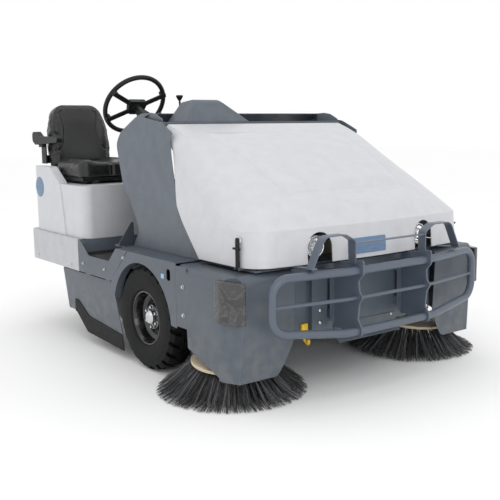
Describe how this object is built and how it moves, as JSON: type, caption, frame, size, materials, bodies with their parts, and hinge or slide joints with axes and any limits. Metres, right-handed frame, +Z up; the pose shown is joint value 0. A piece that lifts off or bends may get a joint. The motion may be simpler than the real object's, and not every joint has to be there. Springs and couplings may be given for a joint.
{
  "type": "ride-on sweeper",
  "caption": "Three-wheeled ride-on floor sweeper with two flared side brooms, a front high-dump hopper under a sloping hood, a driver's seat and a bumper grille.",
  "frame": {"origin": "on the ground, under the middle of the machine's bounding box", "axes": "+Z up, -Y the way the machine drives, +X to the driver's left"},
  "size_m": [1.9054, 2.441, 1.5072],
  "materials": {
    "grey_paint": "satin powder coat",
    "frame_paint": "satin paint",
    "cowl_grey": "fine-grained moulding",
    "white_moulding": "smooth moulding",
    "black_moulding": "grained moulding",
    "black_gloss": "glossy moulding",
    "black_rubber": "moulded rubber",
    "tyre_rubber": "tread rubber",
    "rim_black": "gloss enamel",
    "bright_steel": "zinc plated",
    "seat_vinyl": "soft vinyl",
    "lamp_glass": "clear lens",
    "birch_ply": "varnished plywood",
    "bristle": "crimped filament",
    "steel_pipe": "satin powder coat",
    "iron": "machined casting",
    "filter_paper": "pleated medium",
    "safety_yellow": "gloss paint",
    "plate_blue": "blank plate"
  },
  "bodies": {
    "chassis": {"main_frame": "frame_paint", "hub_motors": "iron", "wheel_arch_panels": "grey_paint", "step_panels": "grey_paint", "corner_skirts": "grey_paint", "corner_pads": "black_gloss", "operator_floor": "grey_paint", "rear_deck_cover": "white_moulding", "body_bolts": "bright_steel", "cowl": "cowl_grey", "dash_pod": "cowl_grey", "broom_housing": "frame_paint", "engine": "iron", "tanks": "black_moulding"},
    "front_wheel_left": {"front_tyre_left": "tyre_rubber", "front_rim_left": "rim_black", "hub_cap_left": "bright_steel"},
    "front_wheel_right": {"front_tyre_right": "tyre_rubber", "front_rim_right": "rim_black", "hub_cap_right": "bright_steel"},
    "rear_steering_fork": {"rear_fork": "frame_paint"},
    "rear_wheel": {"rear_tyre": "tyre_rubber", "rear_rim": "rim_black"},
    "main_broom_carrier": {"main_broom_arms": "frame_paint"},
    "main_broom": {"main_broom_core": "black_moulding", "main_broom_bristles": "bristle"},
    "side_broom_carrier_left": {"side_broom_arm_left": "frame_paint"},
    "side_broom_left": {"side_broom_disc_left": "birch_ply", "side_broom_bristles_left": "bristle"},
    "side_broom_carrier_right": {"side_broom_arm_right": "frame_paint"},
    "side_broom_right": {"side_broom_disc_right": "birch_ply", "side_broom_bristles_right": "bristle"},
    "broom_access_door_left": {"broom_door_left": "grey_paint", "door_skirt_left": "black_rubber"},
    "broom_access_door_right": {"broom_door_right": "grey_paint", "door_skirt_right": "black_rubber"},
    "hopper_lift_arms": {"lift_arms": "frame_paint"},
    "hopper": {"hopper_bin": "frame_paint", "hopper_front_panel": "grey_paint", "dust_filter": "filter_paper", "safety_hook": "safety_yellow", "bumper_ribs": "steel_pipe", "bumper_tubes": "steel_pipe", "lamp_guards": "steel_pipe", "headlamp_housings": "black_moulding", "headlamp_lenses": "lamp_glass"},
    "front_hood": {"hopper_hood": "white_moulding", "name_plate": "plate_blue"},
    "hood_latch_left": {"draw_latch_left": "black_rubber"},
    "hood_latch_right": {"draw_latch_right": "black_rubber"},
    "tilting_column": {"steering_column": "black_moulding"},
    "steering_handwheel": {"steering_wheel": "black_moulding"},
    "dash_lever": {"control_lever": "black_moulding"},
    "accelerator": {"drive_pedal": "black_rubber"},
    "brake": {"brake_pedal": "black_rubber"},
    "engine_cover": {"engine_hood": "white_moulding"},
    "seat": {"seat_cushion": "seat_vinyl", "seat_back": "seat_vinyl", "seat_base": "black_moulding"},
    "seat_armrest": {"armrest": "black_moulding"}
  },
  "joints": [
    {"name": "front_wheel_left_spin", "type": "hinge", "parent": "chassis", "child": "front_wheel_left", "pos_m": [0.705, -0.2255, 0.27], "axis": [1, 0, 0], "continuous": true},
    {"name": "front_wheel_right_spin", "type": "hinge", "parent": "chassis", "child": "front_wheel_right", "pos_m": [-0.705, -0.2255, 0.27], "axis": [1, 0, 0], "continuous": true},
    {"name": "rear_wheel_steer", "type": "hinge", "parent": "chassis", "child": "rear_steering_fork", "pos_m": [0, 0.9135, 0.5], "axis": [0, 0, 1], "range_deg": [-75, 75]},
    {"name": "rear_wheel_spin", "type": "hinge", "parent": "rear_steering_fork", "child": "rear_wheel", "pos_m": [0, 0.9135, 0.25], "axis": [1, 0, 0], "continuous": true},
    {"name": "column_tilt", "type": "hinge", "parent": "chassis", "child": "tilting_column", "pos_m": [-0.5, 0.15786, 1.24102], "axis": [1, 0, 0], "range_deg": [-8, 8]},
    {"name": "steering_wheel_turn", "type": "hinge", "parent": "tilting_column", "child": "steering_handwheel", "pos_m": [-0.5, 0.3135, 1.35], "axis": [0, 0.8192, 0.5736], "range_deg": [-525, 525]},
    {"name": "main_broom_lift", "type": "hinge", "parent": "chassis", "child": "main_broom_carrier", "pos_m": [0, 0.6235, 0.345], "axis": [-1, 0, 0], "range_deg": [0, 4.5]},
    {"name": "main_broom_spin", "type": "hinge", "parent": "main_broom_carrier", "child": "main_broom", "pos_m": [0, 0.2635, 0.184], "axis": [1, 0, 0], "continuous": true},
    {"name": "side_broom_left_lift", "type": "hinge", "parent": "chassis", "child": "side_broom_carrier_left", "pos_m": [0.56, -0.5165, 0.345], "axis": [-1, 0, 0], "range_deg": [0, 4], "deforming": ["side_broom_bristles_left"]},
    {"name": "side_broom_left_spin", "type": "hinge", "parent": "side_broom_carrier_left", "child": "side_broom_left", "pos_m": [0.615, -0.7465, 0.14], "axis": [0.0522, -0.0698, 0.9962], "continuous": true, "deforming": ["side_broom_bristles_left"]},
    {"name": "broom_door_left_open", "type": "hinge", "parent": "chassis", "child": "broom_access_door_left", "pos_m": [0.778, 0.2635, 0.4127], "axis": [0, -1, 0], "range_deg": [0, 75]},
    {"name": "side_broom_right_lift", "type": "hinge", "parent": "chassis", "child": "side_broom_carrier_right", "pos_m": [-0.56, -0.5165, 0.345], "axis": [-1, 0, 0], "range_deg": [0, 4], "deforming": ["side_broom_bristles_right"]},
    {"name": "side_broom_right_spin", "type": "hinge", "parent": "side_broom_carrier_right", "child": "side_broom_right", "pos_m": [-0.615, -0.7465, 0.14], "axis": [-0.0522, -0.0698, 0.9962], "continuous": true, "deforming": ["side_broom_bristles_right"]},
    {"name": "broom_door_right_open", "type": "hinge", "parent": "chassis", "child": "broom_access_door_right", "pos_m": [-0.778, 0.2635, 0.4127], "axis": [0, 1, 0], "range_deg": [0, 75]},
    {"name": "hopper_lift", "type": "hinge", "parent": "chassis", "child": "hopper_lift_arms", "pos_m": [0, -0.0665, 0.9], "axis": [-1, 0, 0], "range_deg": [0, 65]},
    {"name": "hopper_levelling", "type": "hinge", "parent": "hopper_lift_arms", "child": "hopper", "pos_m": [0, -0.7665, 0.4], "axis": [-1, 0, 0], "range_deg": [-65, 0]},
    {"name": "front_hood_open", "type": "hinge", "parent": "hopper", "child": "front_hood", "pos_m": [0, -0.2165, 1.18], "axis": [-1, 0, 0], "range_deg": [0, 25]},
    {"name": "hood_latch_left_swing", "type": "hinge", "parent": "hopper", "child": "hood_latch_left", "pos_m": [0.709, -0.9365, 0.612], "axis": [0, 1, 0], "range_deg": [0, 90]},
    {"name": "hood_latch_right_swing", "type": "hinge", "parent": "hopper", "child": "hood_latch_right", "pos_m": [-0.709, -0.9365, 0.612], "axis": [0, -1, 0], "range_deg": [0, 90]},
    {"name": "dash_lever_rock", "type": "hinge", "parent": "chassis", "child": "dash_lever", "pos_m": [-0.35, 0.0735, 1.286], "axis": [1, 0, 0], "range_deg": [-18, 18], "stiffness_Nm_per_rad": 2},
    {"name": "accelerator_rock", "type": "hinge", "parent": "chassis", "child": "accelerator", "pos_m": [-0.3, 0.1785, 0.526], "axis": [1, 0, 0], "range_deg": [-8, 8], "stiffness_Nm_per_rad": 20},
    {"name": "brake_press", "type": "hinge", "parent": "chassis", "child": "brake", "pos_m": [-0.56, 0.1485, 0.526], "axis": [-1, 0, 0], "range_deg": [0, 8], "stiffness_Nm_per_rad": 20},
    {"name": "engine_cover_open", "type": "hinge", "parent": "chassis", "child": "engine_cover", "pos_m": [0, 1.1735, 0.615], "axis": [-1, 0, 0], "range_deg": [0, 60]},
    {"name": "seat_slide", "type": "slide", "parent": "engine_cover", "child": "seat", "axis": [0, 1, 0], "range_m": [-0.075, 0.075]},
    {"name": "armrest_flip", "type": "hinge", "parent": "seat", "child": "seat_armrest", "pos_m": [-0.76, 1.0295, 1.134], "axis": [-1, 0, 0], "range_deg": [0, 90]}
  ],
  "couplings": [
    {"joint": "steering_wheel_turn", "follows": "rear_wheel_steer", "ratio": 7},
    {"joint": "hopper_levelling", "follows": "hopper_lift", "ratio": -1}
  ]
}
